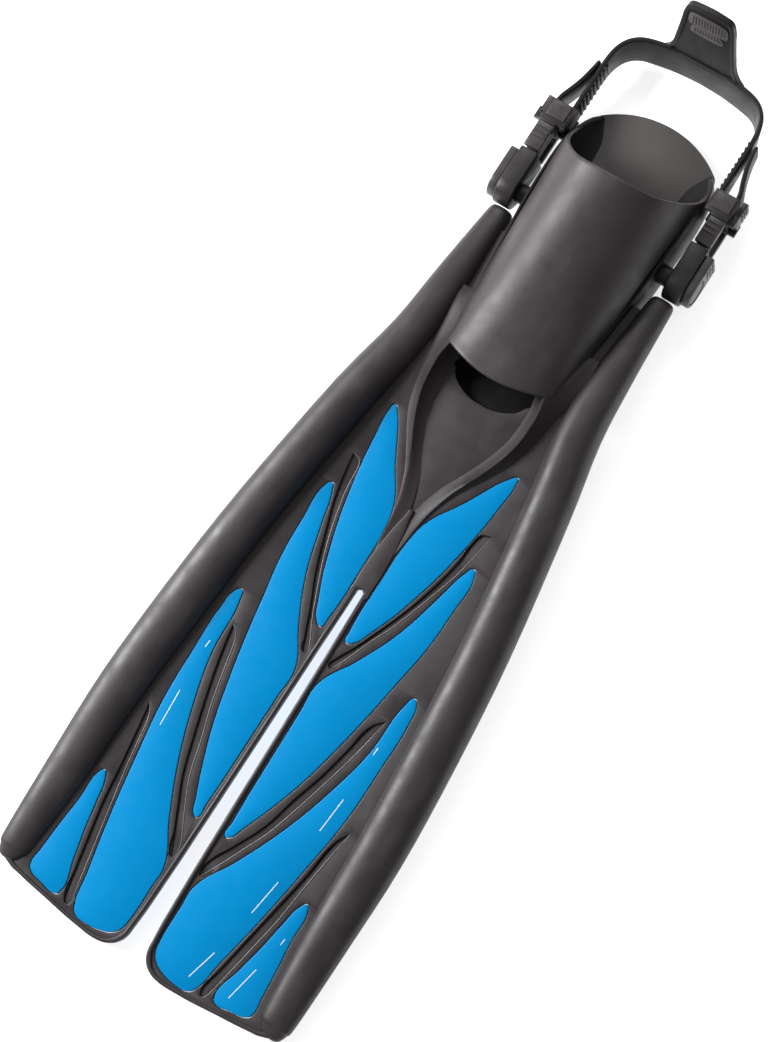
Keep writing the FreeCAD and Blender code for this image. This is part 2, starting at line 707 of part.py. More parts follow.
sole = buildSole()
wall = buildPocket(sole)
buildSpine()
buildStrap()
buildGripBars()
for word, side in (("left", -1), ("right", 1)):
    rail = buildRail("rail_" + word, side)
    buildWeb("blade_web_" + word, side, rail, wall)
    for number, points in enumerate(panelOutlines, 1):
        buildPanel("flex_panel_%s_%d" % (word, number), side, points)
    buildPost("swivel_post_" + word, side, wall)
    buildCap("post_cap_" + word, side)
    buildSocket("buckle_socket_" + word, side)
    buildCover("socket_cover_" + word, side)
    buildPlug("plug_frame_" + word, side)
    buildPin("lever_pin_" + word, side)
    buildLever("lock_lever_" + word, side)
    buildSqueezer("squeeze_tab_upper_" + word, side, 1)
    buildSqueezer("squeeze_tab_lower_" + word, side, -1)
doc.recompute()

faults = [thing.Name for thing in doc.Objects
          if {"Invalid", "Error"} & set(thing.State)]
for name, thing in nodes.items():
    shape = thing.Shape
    if shape.isNull() or not shape.isValid() or not shape.Solids:
        faults.append("shape of " + name)
if faults:
    raise RuntimeError("failed objects: " + ", ".join(faults))

os.makedirs("parts", exist_ok=True)
whole = FreeCAD.BoundBox()
for name, thing in nodes.items():
    thing.Shape.exportStep("parts/%s.step" % name)
    whole.add(thing.Shape.BoundBox)
    print("%-26s solids %d volume %9.1f" % (name, len(thing.Shape.Solids), thing.Shape.Volume))
print("pieces", len(nodes), "box", whole)
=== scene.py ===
import bpy
import bmesh
import math
from mathutils import Matrix, Vector


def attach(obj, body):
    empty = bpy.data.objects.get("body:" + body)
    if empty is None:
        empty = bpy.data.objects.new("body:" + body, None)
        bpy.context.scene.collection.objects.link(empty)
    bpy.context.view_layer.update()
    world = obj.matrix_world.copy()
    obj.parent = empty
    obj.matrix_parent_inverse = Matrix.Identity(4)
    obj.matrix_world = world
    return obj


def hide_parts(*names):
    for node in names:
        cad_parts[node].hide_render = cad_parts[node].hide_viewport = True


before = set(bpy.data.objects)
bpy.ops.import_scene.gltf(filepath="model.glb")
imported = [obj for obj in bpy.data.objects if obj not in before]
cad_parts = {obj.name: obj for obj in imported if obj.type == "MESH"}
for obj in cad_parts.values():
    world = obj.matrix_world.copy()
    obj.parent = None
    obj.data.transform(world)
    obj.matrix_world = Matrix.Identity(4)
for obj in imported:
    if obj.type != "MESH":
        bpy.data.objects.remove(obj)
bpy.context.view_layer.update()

mm = 0.001
bladeTilt = Matrix.Translation((0, -111.2 * mm, 19.65 * mm)) @ Matrix.Rotation(math.radians(3), 4, "X")
sides = {"left": -1, "right": 1}
print("frame loaded:", len(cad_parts), "nodes")


# finishes: every one is built from noise and cells, so nothing is one flat colour

class Finish:
    # one material with short ways to add its texture nodes
    def __init__(self, name, **sockets):
        self.material = bpy.data.materials.new(name)
        self.material.use_nodes = True
        self.nodes = self.material.node_tree.nodes
        self.links = self.material.node_tree.links
        self.shader = self.nodes["Principled BSDF"]
        self.place = self.nodes.new("ShaderNodeTexCoord").outputs["Object"]
        for socket, value in sockets.items():
            self.shader.inputs[socket.replace("_", " ")].default_value = value

    def noise(self, scale, detail=4.0, stretch=(1, 1, 1)):
        node = self.nodes.new("ShaderNodeTexNoise")
        node.inputs["Scale"].default_value = scale
        node.inputs["Detail"].default_value = detail
        mapping = self.nodes.new("ShaderNodeMapping")
        mapping.inputs["Scale"].default_value = stretch
        self.links.new(self.place, mapping.inputs["Vector"])
        self.links.new(mapping.outputs["Vector"], node.inputs["Vector"])
        return node.outputs["Fac"]

    def cells(self, scale):
        node = self.nodes.new("ShaderNodeTexVoronoi")
        node.inputs["Scale"].default_value = scale
        self.links.new(self.place, node.inputs["Vector"])
        return node.outputs["Distance"]

    def ramp(self, factor, stops):
        node = self.nodes.new("ShaderNodeValToRGB")
        self.links.new(factor, node.inputs["Fac"])
        elements = node.color_ramp.elements
        while len(elements) < len(stops):
            elements.new(0.5)
        for element, (position, color) in zip(elements, stops):
            element.position = position
            element.color = color if len(color) == 4 else (*color, 1)
        return node.outputs["Color"]

    def level(self, factor, low, high, start=0.3, end=0.7):
        node = self.nodes.new("ShaderNodeMapRange")
        self.links.new(factor, node.inputs["Value"])
        for socket, value in (("From Min", start), ("From Max", end), ("To Min", low), ("To Max", high)):
            node.inputs[socket].default_value = value
        return node.outputs["Result"]

    def blend(self, factor, first, second):
        node = self.nodes.new("ShaderNodeMix")
        node.data_type = "RGBA"
        self.links.new(factor, node.inputs["Factor"])
        self.links.new(first, node.inputs[6])
        self.links.new(second, node.inputs[7])
        return node.outputs[2]

    def along(self, axis, low, high):
        # 0 to 1 between two places on one axis
        node = self.nodes.new("ShaderNodeSeparateXYZ")
        self.links.new(self.place, node.inputs[0])
        return self.level(node.outputs[axis], 0, 1, low, high)

    def color(self, output):
        self.links.new(output, self.shader.inputs["Base Color"])

    def roughness(self, output):
        self.links.new(output, self.shader.inputs["Roughness"])

    def bump(self, *layers):
        # each layer is (height, strength, depth in metres)
        last = None
        for height, strength, depth in layers:
            node = self.nodes.new("ShaderNodeBump")
            node.inputs["Strength"].default_value = strength
            node.inputs["Distance"].default_value = depth
            self.links.new(height, node.inputs["Height"])
            if last:
                self.links.new(last, node.inputs["Normal"])
            last = node.outputs["Normal"]
        self.links.new(last, self.shader.inputs["Normal"])


def mouldedRubber(name, dark, light, gloss=(0.36, 0.52), dust=(0.17, 0.155, 0.15), shine=0.5):
    finish = Finish(name, Specular_IOR_Level=shine)
    mottling = finish.ramp(finish.noise(16, 5), [(0.3, dark), (0.72, light)])
    bloom = finish.level(finish.noise(55, 6, (1, 0.35, 1)), 0, 0.16, 0.52, 0.8)
    dusty = finish.ramp(finish.noise(300, 2), [(0.0, dust), (1.0, dust)])
    finish.color(finish.blend(bloom, mottling, dusty))
    finish.roughness(finish.level(finish.noise(70, 6), *gloss))
    finish.bump((finish.noise(1500, 3), 0.32, 0.00012), (finish.noise(26, 3), 0.18, 0.0012))
    return finish.material


def panelPlastic(name):
    finish = Finish(name, Specular_IOR_Level=0.1)
    body = finish.ramp(finish.noise(13, 4), [(0.28, (0.0, 0.222, 0.52)), (0.72, (0.0, 0.246, 0.565))])
    scuff = finish.ramp(finish.noise(420, 3, (1, 0.12, 1)),
                        [(0.0, (0.0, 0.23, 0.535)), (0.66, (0.0, 0.235, 0.545)), (0.8, (0.01, 0.30, 0.63))])
    finish.color(finish.blend(finish.level(finish.noise(40, 4), 0.1, 0.45), body, scuff))
    finish.roughness(finish.level(finish.noise(90, 5), 0.30, 0.42))
    finish.bump((finish.noise(1900, 2), 0.22, 0.00008), (finish.noise(30, 3), 0.15, 0.001))
    return finish.material


def grainedNylon(name, dark, light, gloss=(0.34, 0.5)):
    finish = Finish(name, Specular_IOR_Level=0.5)
    finish.color(finish.ramp(finish.noise(120, 6), [(0.3, dark), (0.75, light)]))
    finish.roughness(finish.level(finish.noise(160, 5), *gloss))
    finish.bump((finish.cells(1700), 0.35, 0.0001), (finish.noise(60, 3), 0.12, 0.0006))
    return finish.material


def turnedSteel(name):
    finish = Finish(name, Metallic=1.0)
    finish.color(finish.ramp(finish.noise(500, 4, (1, 1, 8)),
                             [(0.3, (0.07, 0.07, 0.075)), (0.75, (0.13, 0.13, 0.135))]))
    finish.roughness(finish.level(finish.noise(700, 4, (1, 1, 10)), 0.2, 0.4))
    finish.bump((finish.noise(900, 2, (1, 1, 14)), 0.2, 0.00005))
    return finish.material


def printedInk(name):
    finish = Finish(name, Specular_IOR_Level=0.4)
    finish.color(finish.ramp(finish.noise(600, 4), [(0.25, (0.62, 0.68, 0.74)), (0.5, (0.86, 0.89, 0.92))]))
    finish.roughness(finish.level(finish.noise(300, 4), 0.35, 0.55))
    finish.bump((finish.noise(1500, 3), 0.2, 0.00005))
    return finish.material


def footbedRubber(name):
    # grey where the foot stands; deep inside the toe the colour goes nearly black as painted shade under the
    # arch
    finish = Finish(name, Specular_IOR_Level=0.4)
    # painted shade: the nearly black toe colour stands in for the shade deep under the arch
    toe = finish.ramp(finish.noise(20, 4), [(0.3, (0.0025, 0.002, 0.0025)), (0.7, (0.004, 0.0035, 0.004))])
    bed = finish.ramp(finish.noise(14, 5), [(0.3, (0.074, 0.066, 0.066)), (0.72, (0.098, 0.088, 0.087))])
    finish.color(finish.blend(finish.along("Y", 0.12, 0.21), toe, bed))
    finish.roughness(finish.level(finish.noise(60, 5), 0.5, 0.66))
    finish.bump((finish.noise(1100, 3), 0.3, 0.00012), (finish.noise(24, 3), 0.15, 0.001))
    return finish.material


rubberBlade = mouldedRubber("bladeRubber", (0.0195, 0.015, 0.0168), (0.032, 0.0255, 0.028), (0.4, 0.56))
rubberPocket = mouldedRubber("pocketRubber", (0.0245, 0.019, 0.021), (0.038, 0.031, 0.0335), (0.38, 0.52))
rubberSole = footbedRubber("soleRubber")
# painted shade: near-black rubber for the vein beads, standing in for the shadow on the groove wall away from
# the lamp
rubberPaintedShade = mouldedRubber("paintedShadeRubber", (0.004, 0.0032, 0.0036), (0.008, 0.0066, 0.0072), (0.5, 0.65),
                            (0.02, 0.018, 0.019), 0.15)
# painted shade: the lining rubber is darker than the pocket to stand in for the shade inside the pocket
rubberPaintedShadeLining = mouldedRubber("paintedShadeLiningRubber", (0.009, 0.0075, 0.0082), (0.0145, 0.012, 0.013), (0.5, 0.65),
                             (0.04, 0.036, 0.037), 0.25)
# painted highlight: pale rubber for the vein beads, standing in for light on the lit edge of each vein
rubberPaintedHighlight = mouldedRubber("paintedHighlightRubber", (0.10, 0.088, 0.093), (0.17, 0.152, 0.158), (0.36, 0.5))
rubberStrap = mouldedRubber("strapRubber", (0.0095, 0.0078, 0.0084), (0.017, 0.014, 0.015), (0.36, 0.52),
                            (0.07, 0.063, 0.063), 0.3)
rubberGrip = mouldedRubber("gripRubber", (0.065, 0.058, 0.058), (0.10, 0.092, 0.092), (0.42, 0.58))
bluePanel = panelPlastic("flexPanelBlue")
nylonBuckle = grainedNylon("buckleNylon", (0.016, 0.0135, 0.0145), (0.030, 0.026, 0.027))
nylonPale = grainedNylon("coverNylon", (0.046, 0.040, 0.043), (0.076, 0.068, 0.071), (0.26, 0.4))
pinSteel = turnedSteel("leverPinSteel")
whiteInk = printedInk("panelInk")
print("finishes made")


# ways of making a piece

def finished(name, mesh, material, body, nodes=(), crease=35):
    mesh.materials.clear()
    mesh.materials.append(material)
    for polygon in mesh.polygons:
        polygon.use_smooth = True
    mesh.set_sharp_from_angle(angle=math.radians(crease))
    piece = bpy.data.objects.new(name, mesh)
    bpy.context.scene.collection.objects.link(piece)
    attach(piece, body)
    if nodes:
        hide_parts(*nodes)
    return piece


def meshOf(bm, name):
    mesh = bpy.data.meshes.new(name)
    bm.to_mesh(mesh)
    bm.free()
    return mesh


def flatLayer(outlines, low, high, edge, shrink=0.0, place=bladeTilt, side=1, resolution=6):
    # a smooth flat plate through the outlines; a point with a third value is a sharp corner
    curve = bpy.data.curves.new("layer", "CURVE")
    curve.dimensions = "2D"
    curve.fill_mode = "BOTH"
    curve.resolution_u = resolution
    curve.extrude = ((high - low) / 2 - edge) * mm
    curve.bevel_depth = edge * mm
    curve.bevel_resolution = 2
    curve.offset = -(edge + shrink) * mm
    for outline in outlines:
        spline = curve.splines.new("BEZIER")
        spline.bezier_points.add(len(outline) - 1)
        spline.use_cyclic_u = True
        for knot, point in zip(spline.bezier_points, outline):
            knot.co = (point[0] * mm, point[1] * mm, 0)
            kind = "VECTOR" if len(point) > 2 else "AUTO"
            knot.handle_left_type = knot.handle_right_type = kind
    holder = bpy.data.objects.new("layer", curve)
    bpy.context.scene.collection.objects.link(holder)
    view = bpy.context.evaluated_depsgraph_get()
    mesh = bpy.data.meshes.new_from_object(holder.evaluated_get(view))
    bpy.data.objects.remove(holder)
    bpy.data.curves.remove(curve)
    bm = bmesh.new()
    bm.from_mesh(mesh)
    bpy.data.meshes.remove(mesh)
    bmesh.ops.remove_doubles(bm, verts=bm.verts, dist=1e-6)
    bmesh.ops.translate(bm, verts=bm.verts, vec=(0, 0, (low + high) / 2 * mm))
    if side < 0:
        bmesh.ops.scale(bm, verts=bm.verts, vec=(-1, 1, 1))
    bmesh.ops.recalc_face_normals(bm, faces=bm.faces)
    bmesh.ops.transform(bm, matrix=place, verts=bm.verts)
    return bm


def joined(parts, name):
    # puts several bmeshes into one mesh
    whole = bmesh.new()
    for part in parts:
        scrap = meshOf(part, "scrap")
        whole.from_mesh(scrap)
        bpy.data.meshes.remove(scrap)
    return meshOf(whole, name)


def catmull(table, steps):
    # rows of numbers, eased through the rows of a table
    rows = []
    count = len(table)
    for i in range(count - 1):
        before, start = table[max(i - 1, 0)], table[i]
        end, after = table[i + 1], table[min(i + 2, count - 1)]
        for step in range(steps):
            t = step / steps
            rows.append([0.5 * (2 * b + (c - a) * t + (2 * a - 5 * b + 4 * c - d) * t * t
                                + (3 * b - a - 3 * c + d) * t ** 3)
                         for a, b, c, d in zip(before, start, end, after)])
    rows.append(list(table[-1]))
    return rows


def rowAt(table, key):
    # the numbers of a table at a place between two of its rows
    for low, high in zip(table, table[1:]):
        if key <= high[0]:
            t = (key - low[0]) / (high[0] - low[0])
            return [a + (b - a) * t for a, b in zip(low, high)]
    return list(table[-1])


def squared(value, power):
    # pushes a sine or cosine outwards so that a circle gets corners
    return math.copysign(abs(value) ** power, value)


def lofted(rings, closed=True):
    # a ring of edges drawn out from one list of points to the next
    bm = bmesh.new()
    bmesh.ops.create_circle(bm, cap_ends=False, segments=len(rings[0]), radius=1)
    order = bm.verts.layers.int.new("order")
    for number, vert in enumerate(bm.verts):
        vert[order] = number
        vert.co = Vector(rings[0][number]) * mm
    bm.verts.ensure_lookup_table()
    if not closed:
        bm.edges.remove(bm.edges.get((bm.verts[0], bm.verts[-1])))
    ring = list(bm.edges)
    if closed:
        bmesh.ops.contextual_create(bm, geom=ring)
    for points in rings[1:]:
        made = bmesh.ops.extrude_edge_only(bm, edges=ring)["geom"]
        for vert in (item for item in made if isinstance(item, bmesh.types.BMVert)):
            vert.co = Vector(points[vert[order]]) * mm
        ring = [item for item in made if isinstance(item, bmesh.types.BMEdge)]
    if closed:
        bmesh.ops.contextual_create(bm, geom=ring)
    bmesh.ops.recalc_face_normals(bm, faces=bm.faces)
    return bm


def bead(points, radius, level):
    # a thin round line along points of the blade, thinner towards both ends
    path = catmull(points, 6)
    rings = []
    for number, (x, y) in enumerate(path):
        before, after = path[max(number - 1, 0)], path[min(number + 1, len(path) - 1)]
        across = Vector((after[1] - before[1], before[0] - after[0], 0)).normalized()
        thick = radius * min(1, 0.15 + 0.16 * min(number, len(path) - 1 - number))
        rings.append([Vector((x, y, level + thick * math.sin(angle))) + across * (thick * math.cos(angle))
                      for angle in angles(10)])
    return onBlade(lofted(rings))


def angles(count):
    return [2 * math.pi * (number + 0.5) / count for number in range(count)]


def onBlade(bm):
    bmesh.ops.transform(bm, matrix=bladeTilt, verts=bm.verts)
    return bm


def softened(node, edge, segments=2):
    # a copy of a CAD node with its sharp edges rounded
    bm = bmesh.new()
    bm.from_mesh(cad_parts[node].data)
    bmesh.ops.remove_doubles(bm, verts=bm.verts, dist=2e-6)
    bmesh.ops.dissolve_limit(bm, angle_limit=math.radians(1), verts=bm.verts, edges=bm.edges)
    bmesh.ops.recalc_face_normals(bm, faces=bm.faces)
    sharp = [item for item in bm.edges if len(item.link_faces) == 2
             and item.calc_face_angle(0) > math.radians(32)]
    bmesh.ops.bevel(bm, geom=sharp, offset=edge * mm, offset_type="OFFSET", segments=segments,
                    profile=0.5, affect="EDGES", clamp_overlap=True, material=-1)
    return bm


def bar(center, size, edge, turn=None):
    # a bar with rounded edges
    bm = bmesh.new()
    bmesh.ops.create_cube(bm, size=1)
    bmesh.ops.scale(bm, verts=bm.verts, vec=Vector(size) * mm)
    bmesh.ops.bevel(bm, geom=bm.edges[:], offset=edge * mm, offset_type="OFFSET", segments=3,
                    profile=0.5, affect="EDGES", clamp_overlap=True, material=-1)
    if turn:
        bmesh.ops.rotate(bm, verts=bm.verts, cent=(0, 0, 0), matrix=turn)
    bmesh.ops.translate(bm, verts=bm.verts, vec=Vector(center) * mm)
    return bm


# blade: two halves with raised rims, grooved veins and inlaid flex panels

blade = {
    "slotRoot": (2.6, 36.0), "slotTip": (8.2, -232.0), "rimHalf": 3.5, "webHalf": 2.0, "panelHalf": 2.3,
    "panelGap": 0.45,
    "tipEdge": [(11.3, -239.5), (16.5, -244), (24, -246.3), (40, -246), (70, -242.5), (92, -239.6),
                (101, -237.8), (107, -233.6)],
    "tipInner": [(104.6, -231.6, 0), (99.6, -234.8), (91.5, -236.6), (70, -239.8), (40, -243.3),
                 (25, -243.5), (18.3, -241.4), (14.2, -237.4)],
    "railLine": [(108.4, -227), (106, -218), (103, -164), (102, -100), (97, -28),
                 (89.5, 49), (75.5, 144), (65.5, 198, 0)],
    "scoopEdge": [(7, 40), (7, 72), (8.5, 87), (12, 101), (16.5, 115), (22.5, 129), (28.5, 142),
                  (33.8, 155), (37.5, 169), (38.6, 184), (38, 196, 0)],
    "dashes": {"right": [(1, (65.3, -44.7), (65.0, -50.3)), (2, (64.1, -84.3), (62.0, -109.2)),
                         (3, (57.0, -151.0), (53.1, -176.6)), (4, (46.5, -210.6), (40.6, -232.4)),
                         (5, (80.5, -178.7), (79.9, -183.3)), (6, (75.3, -204.6), (69.9, -229.4))],
               "left": [(1, (-67.6, -45.0), (-67.9, -50.3)), (2, (-66.6, -82.7), (-65.3, -108.7))]},
    # along, inner side and height, outer side and height of the flange beside the pocket
    "flange": [(178, 38, 0.3, 69, 0.2), (198, 39.6, 0.3, 65.8, 0), (214, 40, -0.8, 64.8, -2.8),
               (235, 40.4, -2.4, 63.7, -7),
               (262, 43.2, -6, 63.4, -11.5), (288, 46.5, -11, 63, -16)],
}

panels = [
    [(48.2, 150.6), (49.6, 146), (48.6, 128), (43.2, 89), (34.5, 52), (21.5, 16), (13.5, 2), (9.4, 1),
     (8, 8), (7.3, 50), (8.6, 80), (12.4, 95), (25.6, 116.5), (44, 147.5)],
    [(55.6, 85.4), (59, 81), (59.5, 55), (58, 25), (54, 0), (48.5, -33), (43, -60), (36, -89),
     (28, -113), (19.3, -134.5), (13.8, -145.6), (11.2, -146), (10.2, -135), (8.8, -52), (8.6, -31),
     (22.4, -5.8), (36.2, 23.6), (46.3, 58.8), (52, 80)],
    [(68, -5.4), (71.6, -8), (74.2, -22), (74.3, -56), (73.2, -94), (67.8, -135), (60.8, -178),
     (53.3, -215), (48.6, -237), (44.8, -241.2), (34.4, -242), (25.7, -240.6), (17.6, -237),
     (13.4, -231.5), (12, -225), (11.4, -198), (11.4, -184), (26.4, -155), (42.2, -120), (55, -81),
     (62, -50), (65, -12)],
    [(80.6, -152.4), (83.4, -155.4), (85, -178), (87, -198), (88.6, -219), (89.3, -229), (87, -233.2),
     (74.5, -236.6), (65.6, -237.8), (61.8, -235.4), (66, -210), (70.1, -191.7), (73.5, -172.5),
     (77.4, -156)],
]

veins = [
    [(54.2, 108.7, 0), (46.8, 105), (44.6, 85), (38.8, 58.6), (31.6, 36.6), (22.8, 15), (16.8, 1.5),
     (10, -11.4), (8.2, -17), (10.9, -18.6), (15.3, -10), (22.3, 7), (32.5, 29.4), (41.1, 54), (49.1, 79.8)],
    [(60.4, -28, 0), (53.9, -35), (48.9, -57), (43.5, -80), (36.6, -102), (30, -126), (19, -149),
     (10.8, -165), (9.8, -173), (11.6, -175.6), (19.1, -161), (26.6, -145), (34.5, -128), (40.9, -108),
     (46.7, -88), (52.4, -67), (57, -47)],
    [(79.6, -100, 0), (74.4, -110), (70.2, -138), (64.6, -168), (59.6, -194), (54.9, -219),
     (51.8, -235), (54, -238.4), (57.2, -236), (61.4, -217), (65.6, -195), (69.9, -172), (73.5, -143),
     (76.3, -123)],
]


def slotSide(extra=0.0):
    (rootX, rootY), (tipX, tipY) = blade["slotRoot"], blade["slotTip"]
    return [(rootX + extra, rootY, 0), (tipX + extra, tipY + extra * 0.3)]


def bladeHalf(word, side):
    outline = slotSide() + blade["tipEdge"] + blade["railLine"] + [(40, 198, 0)]
    outline += blade["scoopEdge"][::-1]
    half = blade["webHalf"]
    skin = [outline] + panels + veins
    layers = [flatLayer([outline] + panels, -0.5, 0.5, 0.2, side=side),
              flatLayer(skin, 0.2, half, 0.5, side=side),
              flatLayer(skin, -half, -0.2, 0.5, side=side)]
    rim = slotSide() + blade["tipEdge"] + blade["tipInner"] + slotSide(3.0)[::-1]
    layers.append(flatLayer([rim], -blade["rimHalf"], blade["rimHalf"], 1.1, side=side))
    rings = []
    for along, inX, inZ, outX, outZ in catmull(blade["flange"], 5):
        ring = []
        for angle in angles(24):
            share = 0.5 + 0.5 * squared(math.cos(angle), 0.3)
            lift = 1.5 * squared(math.sin(angle), 0.3) - 1.2 * share * (1 - share)
            ring.append((side * (inX + (outX - inX) * share), along, inZ + (outZ - inZ) * share + lift))
        rings.append(ring)
    layers.append(onBlade(lofted(rings)))
    finished("bladeWeb_" + word, joined(layers, "bladeWeb"), rubberBlade, "fin",
             ["blade_web_" + word])
    for number, outline in enumerate(panels, 1):
        top = blade["panelHalf"]
        layer = flatLayer([outline], -top, top, 0.55, blade["panelGap"], side=side)
        finished("flexPanel_%s_%d" % (word, number), meshOf(layer, "flexPanel"), bluePanel, "fin",
                 ["flex_panel_%s_%d" % (word, number)])
    lit, shaded = [], []
    for vein in veins:
        turn = min(range(len(vein)), key=lambda number: vein[number][1])
        innerLine = [(side * point[0], point[1]) for point in vein[:turn]]
        outerLine = [(side * point[0], point[1]) for point in vein[turn:] + vein[:1]]
        # painted highlight: a pale bead along the edge of the vein that faces the key lamp
        lit.append(bead(outerLine if side > 0 else innerLine, 0.42, 1.95))
        # painted shade: a near-black bead along the edge of the vein that faces away from the key lamp
        shaded.append(bead(innerLine if side > 0 else outerLine, 0.55, 0.75))
    finished("veinPaintedHighlight_" + word, joined(lit, "veinPaintedHighlight"), rubberPaintedHighlight, "fin")
    finished("veinPaintedShade_" + word, joined(shaded, "veinPaintedShade"), rubberPaintedShade, "fin")
    for number, start, end in blade["dashes"][word]:
        way = Vector(end) - Vector(start)
        turn = Matrix.Rotation(way.angle_signed(Vector((1, 0))), 3, "Z")
        dash = bar((0, 0, 0), (way.length, 0.55, 0.1), 0.04, turn)
        middle = (Vector(start) + Vector(end)) / 2
        bmesh.ops.translate(dash, verts=dash.verts, vec=Vector((middle.x, middle.y, blade["panelHalf"])) * mm)
        finished("panelDash_%s_%d" % (word, number), meshOf(onBlade(dash), "panelDash"), whiteInk, "fin")


for word, side in sides.items():
    bladeHalf(word, side)
print("blade halves made")


# side rails: thick rounded bars that taper towards both ends

rail = {
    # distance along the blade, side, half width, half height, rise
    "stations": [(-236.2, 105.5, 3.2, 1.8, 0), (-234.6, 105.2, 6.6, 3.6, 0), (-229, 104.8, 9.6, 5.5, 0),
                 (-220, 104.5, 11.8, 7.0, 0), (-164, 103, 14.8, 9.5, 0), (-100, 102, 16.5, 11.5, 0),
                 (-28, 97, 17, 13, 0), (49, 89.5, 16.5, 14.5, 0), (144, 75.5, 15.8, 15.5, 0),
                 (198, 65.5, 15, 14.8, -4), (243, 63.5, 12.6, 12.4, -8), (286.6, 63, 9.6, 9.4, -15.9),
                 (299.6, 63, 8.2, 8, -18.9), (302, 63, 5, 4.8, -19.3)],
    "squareness": 2.3,
}


def railHalf(word, side):
    power = 2 / rail["squareness"]
    rings = []
    for along, across, wide, tall, rise in catmull(rail["stations"], 4):
        rings.append([(side * (across + wide * squared(math.cos(angle), power)), along,
                       rise + tall * squared(math.sin(angle), power)) for angle in angles(40)])
    finished("sideRail_" + word, meshOf(onBlade(lofted(rings)), "sideRail"), rubberBlade, "fin",
             ["rail_" + word], 60)


for word, side in sides.items():
    railHalf(word, side)
print("side rails made")


# centre spine: the spoon in front of the toe vent and the neck down to the slot

spine = {
    "half": 2.5,
    "floor": 0.4,
    "back": [(29.5, 194), (24, 187), (19.4, 183.6), (8, 179.4), (0, 179), (-8, 179.4), (-19.4, 183.6),
             (-24, 187), (-29.5, 194)],
    # along, crest side and height, side of the outer foot
    "neck": [(-2.5, 34), (0, 35.4), (2.5, 34), (5.6, 31), (6.7, 38), (6.8, 56), (5.2, 74), (2.4, 90), (0, 97),
             (-2.4, 90), (-5.2, 74), (-6.8, 56), (-6.7, 38), (-5.6, 31)],
    "crests": [(40, 1.8, 2.4, 5.8), (48, 2.5, 2.7, 6.6), (58, 3.8, 3.0, 7.2), (70, 6.6, 3.1, 8.6),
               (87, 8.4, 3.2, 10.5), (101, 11, 3.6, 13.5),
               (117, 16, 4.2, 19.5), (129.5, 21.8, 5, 26.5), (142, 28, 6.2, 34), (155, 33.5, 7.8, 40.5),
               (169, 37.4, 9.6, 44.5), (184, 38.6, 11.5, 47.5), (193, 38.4, 12.8, 49), (200, 37, 13.6, 50),
               (206, 36, 13, 51), (216, 37, 10.5, 52), (228, 40, 6, 52.8), (242, 44, 0, 52.5)],
}


def centreSpine():
    edge = blade["scoopEdge"]
    mirrored = [(-point[0], *point[1:]) for point in edge[::-1]]
    outline = edge + spine["back"] + mirrored + [(-2.6, 36, 0), (2.6, 36, 0)]
    parts = [flatLayer([outline], -spine["half"], spine["floor"], 0.4),
             flatLayer([spine["neck"]], -2.6, 3.3, 0.9)]
    for side in sides.values():
        rings = []
        for along, crest, high, foot in catmull(spine["crests"], 5):
            reach, base = min(8.5, crest - 0.4), 0.25 + 1.9 * min(1, max(0, (128 - along) / 50))
            section = [(crest - reach, base), (crest - reach * 0.66, base + (high - base) * 0.2),
                       (crest - reach * 0.33, base + (high - base) * 0.55), (crest - 0.5, high - 0.12),
                       (crest + 0.3, high - 0.1), (crest + (foot - crest) * 0.3, high * 0.68 + 0.4),
                       (crest + (foot - crest) * 0.65, high * 0.3 + 1), (foot, 1.7), (foot, -1.6),
                       (crest - reach, -1.6)]
            rings.append([(side * x, along, z) for x, z in section])
        parts.append(onBlade(lofted(rings)))
    finished("centreSpine", joined(parts, "centreSpine"), rubberBlade, "fin", ["center_spine"],
             42)


centreSpine()
print("centre spine made")


# foot pocket: an arch with a curved front edge and a lip that drops back to the ears

pocket = {
    # distance along, half width, base height, top height, squareness of the arch
    "stations": [(84, 45.5, 20, 51, 2.87), (100, 46.4, 15, 53, 2.75), (130, 48, 9, 58, 2.55),
                 (160, 50, 5.5, 62.4, 2.4), (190, 52, 3, 67, 2.3), (235, 53.8, 2, 75, 2.2),
                 (256, 53.2, 2, 79.5, 2.2),
                 (268, 51.4, 2, 82, 2.2), (278, 47.5, 2, 83, 2.2), (285, 41.5, 2, 84, 2.2)],
    # height and distance along of the lip
    "lip": [(0, 284.4), (8, 283.4), (12, 280.5), (15, 275), (20, 266), (28, 258.5), (40, 250.5), (60, 238.5),
            (72, 233), (95, 229)],
    "front": 81.6,
    "wall": 3.5,
    # along, inner foot, top height and wall side of the fillet beside the footbed
    "fillet": [(118, 28, 24, 43), (140, 31, 30, 45), (170, 33, 33, 47.2), (205, 32.5, 34, 49.6),
               (240, 31.5, 32, 50.6),
               (257, 31.5, 25, 50), (268, 33, 18, 47.8),
               (276, 37, 13.5, 45), (282, 40.6, 10, 42)],
}


